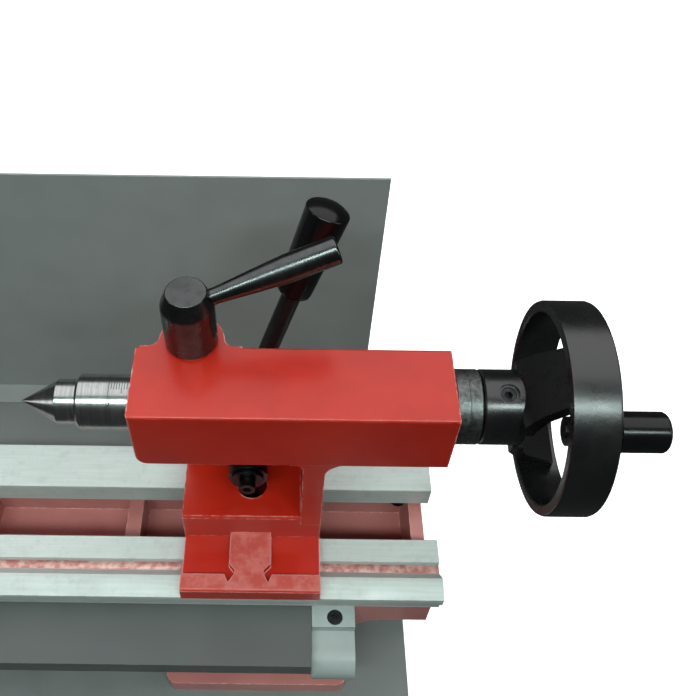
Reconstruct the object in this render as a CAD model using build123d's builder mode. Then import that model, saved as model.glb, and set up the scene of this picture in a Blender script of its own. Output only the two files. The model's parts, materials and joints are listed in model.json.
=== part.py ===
"""Tailstock end of a small bench metal lathe, in millimetres.

X runs along the bed towards the handwheel, Y away from the operator, Z up.
The origin is on the chip tray's underside, below the spindle axis and in line with the clamp shaft.
"""

import os
from math import cos, radians, sin, sqrt

from build123d import *

os.makedirs("parts", exist_ok=True)

# Heights and lengths that the rest follows.
AXIS_Z = 151.5
WAY_TOP = 61.5
WAY_BOTTOM = 48.5
BED_LEFT = -195.0
BED_RIGHT = 83.0
WAY_RIGHT = 86.2
WALL_T = 9.0
FRONT_WALL_Y = -40.0
REAR_WALL_Y = 24.0
ARCH_TOP = 29.5
FOOT_TOP = 11.5
FEET = ((2.35, 85.7), (-160.0, 60.0))
FLOOR_TOP = 15.0
FOOT_FRONT = -65.3
FOOT_REAR = 58.0
BENCH_Y = (-52.0, 46.0)
BENCH_R = 4.5
TRAY_T = 1.5
TRAY_RIGHT = 76.0
TRAY_FRONT = -95.0
GUARD_Y = 114.0
GUARD_RIGHT = 62.0
GUARD_TOP = 168.8
GUARD_T = 1.2

# Tailstock castings.
BASE_LEFT = -30.6
BASE_RIGHT = 31.0
BASE_TOP = 67.5
LIP_TOP = 71.5
SHELF_TOP = 85.5
BAR_LEFT = -44.2
BAR_RIGHT = 79.3
BAR_HALF = 17.0
BAR_BOTTOM = 132.5
BAR_TOP = 166.0
RECESS_BACK = 13.0
COLUMN_BACK = 30.0
LOCK_X = -22.5
LOCK_Y = 19.8
CAM_Z = 100.9
CAM_THROW = 1.5
LEVER_Y = 49.0
LEVER_LEAN = 19.2
LEVER_TILT = 12.0

# Quill and feed.
QUILL_R = 11.0
QUILL_BORE_R = 11.05
QUILL_LEFT = -66.1
QUILL_RIGHT = 55.9
TAPER_R = 8.89
TAPER_RATE = 0.024975
SCREW_R = 5.0
COLLAR_R = 14.8
COLLAR_RIGHT = 89.3
HUB_LEFT = 89.8
RIM_LEFT = 113.2
RIM_RIGHT = 130.7
RIM_R = 42.0
RIM_BORE_R = 37.5
HANDLE_Y = -24.8
HANDLE_Z = AXIS_Z + 21.6

# Leadscrew.
LEAD_Y = -58.0
LEAD_Z = 31.5
LEAD_R = 8.0
BRACKET_LEFT = 27.9
BRACKET_RIGHT = 47.6

WAY_STUD_X = (-165.0, -125.0, -20.0, 15.0, 60.0)
FRONT_STUD_Y = -35.5
REAR_STUD_Y = 28.5
STUD_R = 2.5
HOLD_DOWN_X = (-20.0, 20.0)
HOLD_DOWN_Y = 2.0
COVER_SCREW_X = (-150.0, -72.0, 5.0)

# --- Bed -------------------------------------------------------------------------------------------
with BuildPart() as bed_casting:
    with BuildSketch(Plane.XZ.offset(-(FRONT_WALL_Y + WALL_T))):
        with Locations(((BED_LEFT + BED_RIGHT) / 2, (FOOT_TOP + WAY_BOTTOM) / 2)):
            Rectangle(BED_RIGHT - BED_LEFT, WAY_BOTTOM - FOOT_TOP)
        with Locations((-84.0, ARCH_TOP - 25)):
            RectangleRounded(62.0, 50.0, 14.0, mode=Mode.SUBTRACT)
        with Locations((47.0 + 50.0, ARCH_TOP - 25)):
            RectangleRounded(100.0, 50.0, 16.0, mode=Mode.SUBTRACT)
    extrude(amount=WALL_T)
    with BuildSketch(Plane.XZ.offset(-(REAR_WALL_Y + WALL_T))):
        with Locations(((BED_LEFT + BED_RIGHT) / 2, (FOOT_TOP + WAY_BOTTOM) / 2)):
            Rectangle(BED_RIGHT - BED_LEFT, WAY_BOTTOM - FOOT_TOP)
    extrude(amount=WALL_T)
    for x_low, x_high, z_low, z_high in (
        (BED_LEFT, BED_LEFT + 7.0, FOOT_TOP, WAY_BOTTOM),
        (-143.5, -136.0, FOOT_TOP, 33.5),
        (-65.3, -57.8, FOOT_TOP, 33.5),
        (BED_RIGHT - 6.5, BED_RIGHT, FOOT_TOP, WAY_BOTTOM - 2.0),
        (BED_LEFT + 1.0, BED_RIGHT - 1.0, FOOT_TOP, FLOOR_TOP),
    ):
        y_mid = (FRONT_WALL_Y + WALL_T + REAR_WALL_Y) / 2
        with Locations(((x_low + x_high) / 2, y_mid, (z_low + z_high) / 2)):
            Box(x_high - x_low, REAR_WALL_Y - FRONT_WALL_Y - WALL_T + 1.0, z_high - z_low)
    for x, width in FEET:
        with BuildSketch(Plane.XY.offset(TRAY_T)):
            with Locations((x, (FOOT_FRONT + FOOT_REAR) / 2)):
                RectangleRounded(width, FOOT_REAR - FOOT_FRONT, 5.0)
        extrude(amount=FOOT_TOP - TRAY_T)
    for x, width in FEET:
        for y in BENCH_Y:
            with Locations((x, y, FOOT_TOP / 2)):
                Cylinder(BENCH_R, FOOT_TOP * 2, mode=Mode.SUBTRACT)
    for x in WAY_STUD_X:
        for y in (FRONT_STUD_Y, REAR_STUD_Y):
            with Locations((x, y, WAY_BOTTOM - 7.0)):
                Cylinder(STUD_R + 0.05, 15.0, mode=Mode.SUBTRACT)
    for x in COVER_SCREW_X:
        with Locations((x, FRONT_WALL_Y + 3.0, 42.0)):
            Cylinder(2.05, 8.0, rotation=(90, 0, 0), mode=Mode.SUBTRACT)
    for x in (-188.0, 37.75):
        for z in (26.0, 37.0):
            with Locations((x, FRONT_WALL_Y + 3.0, z)):
                Cylinder(2.05, 8.0, rotation=(90, 0, 0), mode=Mode.SUBTRACT)
bed_casting.part.label = "bed_casting"
export_step(bed_casting.part, "parts/bed_casting.step")

with BuildPart() as front_way:
    with BuildSketch(Plane.YZ.offset(BED_LEFT)):
        with BuildLine():
            Polyline(
                (-13.65, WAY_BOTTOM),
                (-13.65, WAY_TOP - 0.5),
                (-14.15, WAY_TOP),
                (-25.0, WAY_TOP),
                (-25.0, 58.5),
                (-29.0, 58.5),
                (-34.3, 65.5),
                (-38.2, 65.5),
                (-43.5, 62.7),
                (-43.5, 57.5),
                (-41.0, 52.0),
                (-41.0, WAY_BOTTOM),
                close=True,
            )
        make_face()
    extrude(amount=WAY_RIGHT - BED_LEFT)
    for x in WAY_STUD_X:
        with Locations((x, FRONT_STUD_Y, 53.0)):
            Cylinder(STUD_R + 0.05, 9.2, mode=Mode.SUBTRACT)
front_way.part.label = "front_way"
export_step(front_way.part, "parts/front_way.step")

with BuildPart() as rear_way:
    with BuildSketch(Plane.YZ.offset(BED_LEFT)):
        with BuildLine():
            Polyline(
                (11.8, WAY_BOTTOM),
                (11.8, WAY_TOP - 0.5),
                (12.3, WAY_TOP),
                (34.8, WAY_TOP),
                (35.3, WAY_TOP - 0.5),
                (35.3, WAY_BOTTOM),
                close=True,
            )
        make_face()
    extrude(amount=WAY_RIGHT - BED_LEFT)
    for x in WAY_STUD_X:
        with Locations((x, REAR_STUD_Y, 53.0)):
            Cylinder(STUD_R + 0.05, 9.2, mode=Mode.SUBTRACT)
    with Locations((72.0, 17.0, 52.5)):
        Cylinder(2.55, 8.2, mode=Mode.SUBTRACT)
rear_way.part.label = "rear_way"
export_step(rear_way.part, "parts/rear_way.step")

with BuildPart() as way_studs:
    for x in WAY_STUD_X:
        for y in (FRONT_STUD_Y, REAR_STUD_Y):
            with Locations((x, y, 46.0)):
                Cylinder(STUD_R, 22.0)
way_studs.part.label = "way_studs"
export_step(way_studs.part, "parts/way_studs.step")

with BuildPart() as way_end_screw:
    with Locations((72.0, 17.0, 45.9)):
        Cylinder(4.25, 5.0)
    with Locations((72.0, 17.0, 50.0)):
        Cylinder(2.5, 10.0)
    with BuildSketch(Plane.XY.offset(43.4)):
        with Locations((72.0, 17.0)):
            RegularPolygon(2.3, 6)
    extrude(amount=2.6, mode=Mode.SUBTRACT)
way_end_screw.part.label = "way_end_screw"
export_step(way_end_screw.part, "parts/way_end_screw.step")

with BuildPart() as chip_tray:
    with BuildSketch(Plane.XY):
        with Locations(((BED_LEFT + TRAY_RIGHT) / 2, (TRAY_FRONT + GUARD_Y) / 2)):
            Rectangle(TRAY_RIGHT - BED_LEFT, GUARD_Y - TRAY_FRONT)
        with Locations(*[(x, y) for x, width in FEET for y in BENCH_Y]):
            Circle(BENCH_R, mode=Mode.SUBTRACT)
        with Locations((-165.0, 107.0), (-66.0, 107.0), (33.0, 107.0)):
            Circle(2.05, mode=Mode.SUBTRACT)
    extrude(amount=TRAY_T - 0.02)
chip_tray.part.label = "chip_tray"
export_step(chip_tray.part, "parts/chip_tray.step")

with BuildPart() as splash_guard:
    with BuildSketch(Plane.YZ.offset(BED_LEFT)):
        with Locations((GUARD_Y + GUARD_T / 2, (TRAY_T + GUARD_TOP) / 2)):
            Rectangle(GUARD_T, GUARD_TOP - TRAY_T)
        with Locations((GUARD_Y - 6.0, TRAY_T + GUARD_T / 2)):
            Rectangle(14.0, GUARD_T)
    extrude(amount=GUARD_RIGHT - BED_LEFT)
    with Locations((-165.0, 107.0, 2.0), (-66.0, 107.0, 2.0), (33.0, 107.0, 2.0)):
        Cylinder(2.05, 6.0, mode=Mode.SUBTRACT)
splash_guard.part.label = "splash_guard"
export_step(splash_guard.part, "parts/splash_guard.step")

with BuildPart() as guard_screws:
    for x in (-165.0, -66.0, 33.0):
        with Locations((x, 107.0, 3.85)):
            Cylinder(3.6, 2.2)
        with Locations((x, 107.0, 1.8)):
            Cylinder(1.95, 3.4)
        with BuildSketch(Plane.XY.offset(3.6)):
            with Locations((x, 107.0)):
                RegularPolygon(1.4, 6)
        extrude(amount=2.0, mode=Mode.SUBTRACT)
guard_screws.part.label = "guard_screws"
export_step(guard_screws.part, "parts/guard_screws.step")

# --- Leadscrew, its brackets and its cover ---------------------------------------------------------
with BuildPart() as leadscrew_bracket:
    with BuildSketch(Plane.YZ.offset(BRACKET_LEFT)):
        with Locations(((FRONT_WALL_Y + LEAD_Y) / 2, LEAD_Z)):
            Rectangle(FRONT_WALL_Y - LEAD_Y - 0.04, 20.0)
        with Locations((LEAD_Y, LEAD_Z)):
            Circle(10.0)
        with Locations((-45.02, 43.5)):
            Rectangle(9.96, 6.0)
    extrude(amount=BRACKET_RIGHT - BRACKET_LEFT)
    with Locations((38.5, -45.5, 45.0)):
        Cylinder(3.6, 4.0, mode=Mode.SUBTRACT)
    with Locations((BRACKET_LEFT + 8.8, LEAD_Y, LEAD_Z)):
        Cylinder(8.0, 17.8, rotation=(0, 90, 0), mode=Mode.SUBTRACT)
    for z in (26.0, 37.0):
        with Locations((37.75, -43.0, z)):
            Cylinder(2.05, 14.0, rotation=(90, 0, 0), mode=Mode.SUBTRACT)
        with Locations((37.75, -47.0, z)):
            Cylinder(3.9, 6.0, rotation=(90, 0, 0), mode=Mode.SUBTRACT)
leadscrew_bracket.part.label = "leadscrew_bracket"
export_step(leadscrew_bracket.part, "parts/leadscrew_bracket.step")

with BuildPart() as left_bracket:
    with BuildSketch(Plane.YZ.offset(BED_LEFT)):
        with Locations(((FRONT_WALL_Y + LEAD_Y) / 2, LEAD_Z)):
            Rectangle(FRONT_WALL_Y - LEAD_Y - 0.04, 20.0)
        with Locations((LEAD_Y, LEAD_Z)):
            Circle(10.0)
    extrude(amount=14.0)
    with Locations((BED_LEFT + 7.0, LEAD_Y, LEAD_Z)):
        Cylinder(8.0, 14.2, rotation=(0, 90, 0), mode=Mode.SUBTRACT)
    for z in (26.0, 37.0):
        with Locations((-188.0, -43.0, z)):
            Cylinder(2.05, 14.0, rotation=(90, 0, 0), mode=Mode.SUBTRACT)
        with Locations((-188.0, -47.0, z)):
            Cylinder(3.9, 6.0, rotation=(90, 0, 0), mode=Mode.SUBTRACT)
left_bracket.part.label = "left_bracket"
export_step(left_bracket.part, "parts/left_bracket.step")

with BuildPart() as leadscrew_bushes:
    for x_low, length in ((BRACKET_LEFT, 17.6), (BED_LEFT, 14.0)):
        with BuildSketch(Plane.YZ.offset(x_low)):
            with Locations((LEAD_Y, LEAD_Z)):
                Circle(7.98)
                Circle(6.05, mode=Mode.SUBTRACT)
        extrude(amount=length)
leadscrew_bushes.part.label = "leadscrew_bushes"
export_step(leadscrew_bushes.part, "parts/leadscrew_bushes.step")

with BuildPart() as bracket_screws:
    for x in (-188.0, 37.75):
        for z in (26.0, 37.0):
            with Locations((x, -46.0, z)):
                Cylinder(3.5, 3.8, rotation=(90, 0, 0))
            with Locations((x, -40.5, z)):
                Cylinder(2.0, 9.0, rotation=(90, 0, 0))
    with Locations((38.5, -45.5, 44.8)):
        Cylinder(3.5, 3.4)
    with BuildSketch(Plane.XY.offset(45.0)):
        with Locations((38.5, -45.5)):
            RegularPolygon(1.7, 6)
    extrude(amount=4.0, mode=Mode.SUBTRACT)
bracket_screws.part.label = "bracket_screws"
export_step(bracket_screws.part, "parts/bracket_screws.step")

with BuildPart() as leadscrew:
    with BuildSketch(Plane.XZ.offset(-LEAD_Y)):
        with BuildLine():
            Polyline(
                (BED_LEFT + 0.5, LEAD_Z),
                (BED_LEFT + 0.5, LEAD_Z + 6.0),
                (BED_LEFT + 14.6, LEAD_Z + 6.0),
                (BED_LEFT + 14.6, LEAD_Z + LEAD_R - 0.8),
                (BED_LEFT + 15.4, LEAD_Z + LEAD_R),
                (BRACKET_LEFT - 1.4, LEAD_Z + LEAD_R),
                (BRACKET_LEFT - 0.6, LEAD_Z + LEAD_R - 0.8),
                (BRACKET_LEFT - 0.6, LEAD_Z + 6.0),
                (BRACKET_LEFT + 17.0, LEAD_Z + 6.0),
                (BRACKET_LEFT + 17.0, LEAD_Z),
                close=True,
            )
        make_face()
    revolve(axis=Axis((0, LEAD_Y, LEAD_Z), (1, 0, 0)))
leadscrew.part.label = "leadscrew"
export_step(leadscrew.part, "parts/leadscrew.step")

with BuildPart() as leadscrew_cover:
    with BuildSketch(Plane.YZ.offset(BED_LEFT + 14.3)):
        with Locations((-54.02, 46.4)):
            Rectangle(27.96, 1.0)
        with Locations((-67.5, 42.0)):
            Rectangle(1.0, 9.8)
        with Locations((-40.54, 42.4)):
            Rectangle(1.0, 9.0)
    extrude(amount=BRACKET_LEFT - 0.3 - BED_LEFT - 14.3)
    for x in COVER_SCREW_X:
        with Locations((x, -40.5, 42.0)):
            Cylinder(2.05, 4.0, rotation=(90, 0, 0), mode=Mode.SUBTRACT)
leadscrew_cover.part.label = "leadscrew_cover"
export_step(leadscrew_cover.part, "parts/leadscrew_cover.step")

with BuildPart() as cover_screws:
    for x in COVER_SCREW_X:
        with Locations((x, -42.5, 42.0)):
            Cylinder(3.4, 2.8, rotation=(90, 0, 0))
        with Locations((x, -39.0, 42.0)):
            Cylinder(2.0, 6.0, rotation=(90, 0, 0))
cover_screws.part.label = "cover_screws"
export_step(cover_screws.part, "parts/cover_screws.step")

# --- Tailstock castings ----------------------------------------------------------------------------
with BuildPart() as tailstock_base:
    with BuildSketch(Plane.YZ.offset(BASE_LEFT)):
        with BuildLine():
            Polyline(
                (-44.0, 62.6),
                (-44.0, LIP_TOP - 1.0),
                (-43.0, LIP_TOP),
                (-36.0, LIP_TOP),
                (-36.0, BASE_TOP),
                (36.0, BASE_TOP),
                (36.0, 61.6),
                (-31.2, 61.6),
                (-34.2, 65.62),
                (-38.25, 65.62),
                close=True,
            )
        make_face()
    extrude(amount=BASE_RIGHT - BASE_LEFT)
    for points in (
        ((-11.4, -35.9), (-9.7, -39.7), (-7.1, -35.9)),
        ((6.0, -35.9), (8.0, -39.7), (9.7, -35.9)),
    ):
        with BuildSketch(Plane.XY.offset(BASE_TOP)):
            with BuildLine():
                Polyline(*points, close=True)
            make_face()
        extrude(amount=10.0, mode=Mode.SUBTRACT)
    with BuildSketch(Plane.XY.offset(BASE_TOP)):
        with BuildLine():
            Polyline(
                (-7.1, -36.0),
                (-7.1, -34.0),
                (-9.5, -31.0),
                (-9.5, 30.0),
                (8.8, 30.0),
                (8.8, -31.0),
                (6.0, -34.0),
                (6.0, -36.0),
                close=True,
            )
        make_face()
    extrude(amount=LIP_TOP - BASE_TOP)
    with Locations((-1.28, 0.6, BASE_TOP)):
        Cylinder(8.0, 20.0, mode=Mode.SUBTRACT)
    for x in HOLD_DOWN_X:
        with BuildSketch(Plane.XY.offset(60.0)):
            with Locations((x, HOLD_DOWN_Y)):
                SlotOverall(11.2, 6.6, rotation=90)
        extrude(amount=10.0, mode=Mode.SUBTRACT)
tailstock_base.part.label = "tailstock_base"
export_step(tailstock_base.part, "parts/tailstock_base.step")

with BuildPart() as tailstock_body:
    with BuildSketch(Plane.YZ.offset(BAR_LEFT)):
        with Locations((0, (BAR_BOTTOM + BAR_TOP) / 2)):
            Rectangle(2 * BAR_HALF, BAR_TOP - BAR_BOTTOM)
    extrude(amount=BAR_RIGHT - BAR_LEFT)
    low_left = tailstock_body.edges().filter_by(Axis.Y).group_by(Axis.Z)[0].sort_by(Axis.X)[0]
    fillet(low_left, radius=5.0)
    fillet(tailstock_body.edges().filter_by(Axis.X), radius=1.4)
    with BuildSketch(Plane.XY.offset(BAR_BOTTOM)):
        with Locations((-22.5, 8.5)):
            Rectangle(40.0, 17.0)
        with Locations((LOCK_X, LOCK_Y)):
            Circle(13.0)
        inner = [v for v in vertices() if abs(v.Y - 17.0) < 0.01 and -41.0 < v.X < -4.0]
        fillet(inner, radius=4.2)
    extrude(amount=BAR_TOP - BAR_BOTTOM)
    with BuildSketch(Plane.XZ.offset(-BAR_HALF)):
        with BuildLine():
            Polyline((17.0, 132.5), (17.0, 136.0), (40.0, 136.0), (40.0, 132.5))
            ThreePointArc((40.0, 132.5), (33.64, 129.86), (31.0, 123.5))
            Polyline((31.0, 123.5), (31.0, 80.0), (22.0, 80.0), (22.0, 127.5))
            ThreePointArc((22.0, 127.5), (20.54, 131.04), (17.0, 132.5))
        make_face()
    extrude(amount=BAR_HALF + 16.2)
    with BuildSketch(Plane.YZ.offset(BASE_LEFT)):
        with BuildLine():
            Polyline(
                (-16.0, BASE_TOP + 0.02),
                (-16.0, SHELF_TOP - 1.0),
                (-15.0, SHELF_TOP),
                (11.0, SHELF_TOP),
                (RECESS_BACK, SHELF_TOP + 2.0),
                (RECESS_BACK, 140.0),
                (17.0, 150.0),
                (COLUMN_BACK, 132.5),
                (COLUMN_BACK, 92.0),
                (34.0, SHELF_TOP),
                (34.0, BASE_TOP + 0.02),
                close=True,
            )
        make_face()
    extrude(amount=BASE_RIGHT - BASE_LEFT)
    with Locations((0, 35.0, CAM_Z)):
        Cylinder(14.0, 14.0, rotation=(90, 0, 0))
    with Locations(((BAR_LEFT + BAR_RIGHT) / 2, 0, AXIS_Z)):
        Cylinder(QUILL_BORE_R, 140.0, rotation=(0, 90, 0), mode=Mode.SUBTRACT)
    with Locations((LOCK_X, LOCK_Y, 152.0)):
        Cylinder(9.5, 33.0, mode=Mode.SUBTRACT)
    with Locations((0, 30.0, CAM_Z)):
        Cylinder(9.0, 40.0, rotation=(90, 0, 0), mode=Mode.SUBTRACT)
    with Locations((0, 0.6, 76.0)):
        Cylinder(6.7, 24.0, mode=Mode.SUBTRACT)
    with Locations((-0.35, 10.0, BASE_TOP + 1.05)):
        Box(18.5, 60.0, 6.1, mode=Mode.SUBTRACT)
    for x in HOLD_DOWN_X:
        with Locations((x, HOLD_DOWN_Y, 75.0)):
            Cylinder(3.05, 16.0, mode=Mode.SUBTRACT)
    with Locations((-5.0, 0, 136.0)):
        Cylinder(3.05, 10.0, mode=Mode.SUBTRACT)
tailstock_body.part.label = "tailstock_body"
export_step(tailstock_body.part, "parts/tailstock_body.step")

with BuildPart() as hold_down_screws:
    for x in HOLD_DOWN_X:
        with Locations((x, HOLD_DOWN_Y, 58.5)):
            Cylinder(5.0, 6.0)
        with Locations((x, HOLD_DOWN_Y, 71.5)):
            Cylinder(3.0, 22.0)
        with BuildSketch(Plane.XY.offset(55.5)):
            with Locations((x, HOLD_DOWN_Y)):
                RegularPolygon(2.8, 6)
        extrude(amount=3.0, mode=Mode.SUBTRACT)
hold_down_screws.part.label = "hold_down_screws"
export_step(hold_down_screws.part, "parts/hold_down_screws.step")

with BuildPart() as quill_key:
    with Locations((-5.0, 0, 136.6)):
        Cylinder(3.0, 6.4)
    with Locations((-5.0, 0, 140.9)):
        Cylinder(2.0, 2.4)
    with BuildSketch(Plane.XY.offset(133.4)):
        with Locations((-5.0, 0)):
            RegularPolygon(1.7, 6)
    extrude(amount=2.8, mode=Mode.SUBTRACT)
quill_key.part.label = "quill_key"
export_step(quill_key.part, "parts/quill_key.step")

with BuildPart() as cam_bushing:
    with BuildSketch(Plane.XZ.offset(-42.0)):
        with Locations((0, CAM_Z)):
            Circle(8.98)
            Circle(7.05, mode=Mode.SUBTRACT)
    extrude(amount=29.0)
cam_bushing.part.label = "cam_bushing"
export_step(cam_bushing.part, "parts/cam_bushing.step")

with BuildPart() as lock_cotter_upper:
    with Locations((LOCK_X, LOCK_Y, 159.9)):
        Cylinder(9.4, 12.8)
        Cylinder(4.3, 14.0, mode=Mode.SUBTRACT)
    with Locations((LOCK_X, 0, AXIS_Z)):
        Cylinder(11.15, 40.0, rotation=(0, 90, 0), mode=Mode.SUBTRACT)
lock_cotter_upper.part.label = "lock_cotter_upper"
export_step(lock_cotter_upper.part, "parts/lock_cotter_upper.step")

with BuildPart() as lock_cotter_lower:
    with Locations((LOCK_X, LOCK_Y, 143.0)):
        Cylinder(9.4, 13.0)
        Cylinder(4.06, 14.0, mode=Mode.SUBTRACT)
    with Locations((LOCK_X, 0, AXIS_Z)):
        Cylinder(11.15, 40.0, rotation=(0, 90, 0), mode=Mode.SUBTRACT)
lock_cotter_lower.part.label = "lock_cotter_lower"
export_step(lock_cotter_lower.part, "parts/lock_cotter_lower.step")

with BuildPart() as bearing_collar:
    with BuildSketch(Plane.XZ):
        with BuildLine():
            Polyline(
                (76.5, AXIS_Z + 8.5),
                (76.5, AXIS_Z + 11.0),
                (BAR_RIGHT + 0.03, AXIS_Z + 11.0),
                (BAR_RIGHT + 0.03, AXIS_Z + COLLAR_R - 0.4),
                (BAR_RIGHT + 0.43, AXIS_Z + COLLAR_R),
                (COLLAR_RIGHT - 0.5, AXIS_Z + COLLAR_R),
                (COLLAR_RIGHT, AXIS_Z + COLLAR_R - 0.5),
                (COLLAR_RIGHT, AXIS_Z + 5.07),
                (84.5, AXIS_Z + 5.07),
                (84.5, AXIS_Z + 8.5),
                close=True,
            )
        make_face()
    revolve(axis=Axis((0, 0, AXIS_Z), (1, 0, 0)))
bearing_collar.part.label = "bearing_collar"
export_step(bearing_collar.part, "parts/bearing_collar.step")

with BuildPart() as thrust_bearing:
    with BuildSketch(Plane.YZ.offset(79.95)):
        with Locations((0, AXIS_Z)):
            Circle(8.45)
            Circle(5.07, mode=Mode.SUBTRACT)
    extrude(amount=4.45)
thrust_bearing.part.label = "thrust_bearing"
export_step(thrust_bearing.part, "parts/thrust_bearing.step")

# --- Quill and dead centre -------------------------------------------------------------------------
with BuildPart() as quill:
    with BuildSketch(Plane.XZ):
        with BuildLine():
            Polyline(
                (QUILL_LEFT, AXIS_Z + TAPER_R),
                (QUILL_LEFT, AXIS_Z + QUILL_R - 1.2),
                (QUILL_LEFT + 1.2, AXIS_Z + QUILL_R),
                (QUILL_RIGHT - 0.8, AXIS_Z + QUILL_R),
                (QUILL_RIGHT, AXIS_Z + QUILL_R - 0.8),
                (QUILL_RIGHT, AXIS_Z + 8.0),
                (43.9, AXIS_Z + 8.0),
                (43.9, AXIS_Z + 6.0),
                (-8.0, AXIS_Z + 6.0),
                (-8.0, AXIS_Z + TAPER_R - TAPER_RATE * (-8.0 - QUILL_LEFT)),
                close=True,
            )
        make_face()
    revolve(axis=Axis((0, 0, AXIS_Z), (1, 0, 0)))
    with Locations((-1.5, 0, AXIS_Z - 10.2)):
        Box(53.0, 4.2, 2.0, mode=Mode.SUBTRACT)
quill.part.label = "quill"
export_step(quill.part, "parts/quill.step")

with BuildPart() as feed_nut:
    with BuildSketch(Plane.YZ.offset(44.0)):
        with Locations((0, AXIS_Z)):
            Circle(7.98)
            Circle(SCREW_R + 0.05, mode=Mode.SUBTRACT)
    extrude(amount=QUILL_RIGHT - 44.0)
feed_nut.part.label = "feed_nut"
export_step(feed_nut.part, "parts/feed_nut.step")

with BuildPart() as dead_centre:
    with BuildSketch(Plane.XZ):
        with BuildLine():
            Polyline(
                (-88.8, AXIS_Z),
                (-88.7, AXIS_Z + 0.25),
                (-74.4, AXIS_Z + 8.45),
                (-73.9, AXIS_Z + 8.85),
                (QUILL_LEFT, AXIS_Z + 8.85),
                (-11.1, AXIS_Z + 8.85 - TAPER_RATE * (-11.1 - QUILL_LEFT)),
                (-10.1, AXIS_Z + 6.4),
                (-10.1, AXIS_Z),
                close=True,
            )
        make_face()
    revolve(axis=Axis((0, 0, AXIS_Z), (1, 0, 0)))
dead_centre.part.label = "dead_centre"
export_step(dead_centre.part, "parts/dead_centre.step")

# --- Handwheel and feed screw ----------------------------------------------------------------------
ARM_Y = -0.19
ARM_Z = 0.982
with BuildPart() as handwheel:
    for side in (1, -1):
        arm_plane = Plane(origin=(0, 0, AXIS_Z), x_dir=(1, 0, 0), z_dir=(0, -side * ARM_Z, side * ARM_Y))
        with BuildSketch(arm_plane):
            with BuildLine():
                Polyline(
                    (103.5, 6.0),
                    (103.5, 12.5),
                    (108.5, 21.0),
                    (121.5, 33.0),
                    (123.5, 39.5),
                    (129.0, 39.5),
                    (127.2, 31.5),
                    (112.0, 17.5),
                    (108.5, 10.0),
                    (108.5, 6.0),
                    close=True,
                )
            make_face()
        extrude(amount=14.5, both=True)
    with BuildSketch(Plane(origin=(95.0, 0, AXIS_Z), x_dir=(0, ARM_Z, -ARM_Y), z_dir=(1, 0, 0))):
        with BuildLine():
            Polyline(
                (-10.0, -40.0), (10.0, -40.0), (14.5, -9.0), (14.5, 9.0),
                (10.0, 40.0), (-10.0, 40.0), (-14.5, 9.0), (-14.5, -9.0),
                close=True,
            )
        make_face()
    extrude(amount=40.0, mode=Mode.INTERSECT)
    with BuildSketch(Plane.XZ):
        with BuildLine():
            Polyline(
                (HUB_LEFT, AXIS_Z + 1.0),
                (HUB_LEFT, AXIS_Z + 14.2),
                (HUB_LEFT + 0.6, AXIS_Z + COLLAR_R),
                (105.9, AXIS_Z + COLLAR_R),
                (107.5, AXIS_Z + 13.2),
                (107.5, AXIS_Z + 1.0),
                close=True,
            )
        make_face()
        with BuildLine():
            Polyline(
                (RIM_LEFT, AXIS_Z + RIM_BORE_R + 0.6),
                (RIM_LEFT, AXIS_Z + RIM_R - 1.2),
                (RIM_LEFT + 0.35, AXIS_Z + RIM_R - 0.35),
                (RIM_LEFT + 1.2, AXIS_Z + RIM_R),
                (RIM_RIGHT - 1.2, AXIS_Z + RIM_R),
                (RIM_RIGHT - 0.35, AXIS_Z + RIM_R - 0.35),
                (RIM_RIGHT, AXIS_Z + RIM_R - 1.2),
                (RIM_RIGHT, AXIS_Z + RIM_BORE_R + 0.6),
                (RIM_RIGHT - 0.6, AXIS_Z + RIM_BORE_R),
                (RIM_LEFT + 0.6, AXIS_Z + RIM_BORE_R),
                close=True,
            )
        make_face()
    revolve(axis=Axis((0, 0, AXIS_Z), (1, 0, 0)))
    with Locations((122.1, HANDLE_Y, HANDLE_Z)):
        Cylinder(5.25, 17.2, rotation=(0, 90, 0))
    with Locations((123.0, HANDLE_Y, HANDLE_Z)):
        Cylinder(2.52, 20.0, rotation=(0, 90, 0), mode=Mode.SUBTRACT)
    with Locations((100.0, 0, AXIS_Z)):
        Cylinder(SCREW_R + 0.02, 40.0, rotation=(0, 90, 0), mode=Mode.SUBTRACT)
    with BuildSketch(
        Plane(origin=(99.0, 0, AXIS_Z), x_dir=(1, 0, 0), z_dir=(0, -sin(radians(14)), cos(radians(14))))
    ):
        Circle(3.05)
    extrude(amount=16.0, mode=Mode.SUBTRACT)
    with BuildSketch(
        Plane(
            origin=(99.0, -13.3 * sin(radians(14)), AXIS_Z + 13.3 * cos(radians(14))),
            x_dir=(1, 0, 0),
            z_dir=(0, -sin(radians(14)), cos(radians(14))),
        )
    ):
        Circle(4.0)
    extrude(amount=4.0, mode=Mode.SUBTRACT)
handwheel.part.label = "handwheel"
export_step(handwheel.part, "parts/handwheel.step")

with BuildPart() as hub_grub_screw:
    with BuildSketch(
        Plane(
            origin=(99.0, -5.4 * sin(radians(14)), AXIS_Z + 5.4 * cos(radians(14))),
            x_dir=(1, 0, 0),
            z_dir=(0, -sin(radians(14)), cos(radians(14))),
        )
    ):
        Circle(3.0)
    extrude(amount=7.4)
    with BuildSketch(
        Plane(
            origin=(99.0, -9.8 * sin(radians(14)), AXIS_Z + 9.8 * cos(radians(14))),
            x_dir=(1, 0, 0),
            z_dir=(0, -sin(radians(14)), cos(radians(14))),
        )
    ):
        RegularPolygon(1.7, 6)
    extrude(amount=4.0, mode=Mode.SUBTRACT)
hub_grub_screw.part.label = "hub_grub_screw"
export_step(hub_grub_screw.part, "parts/hub_grub_screw.step")

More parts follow.
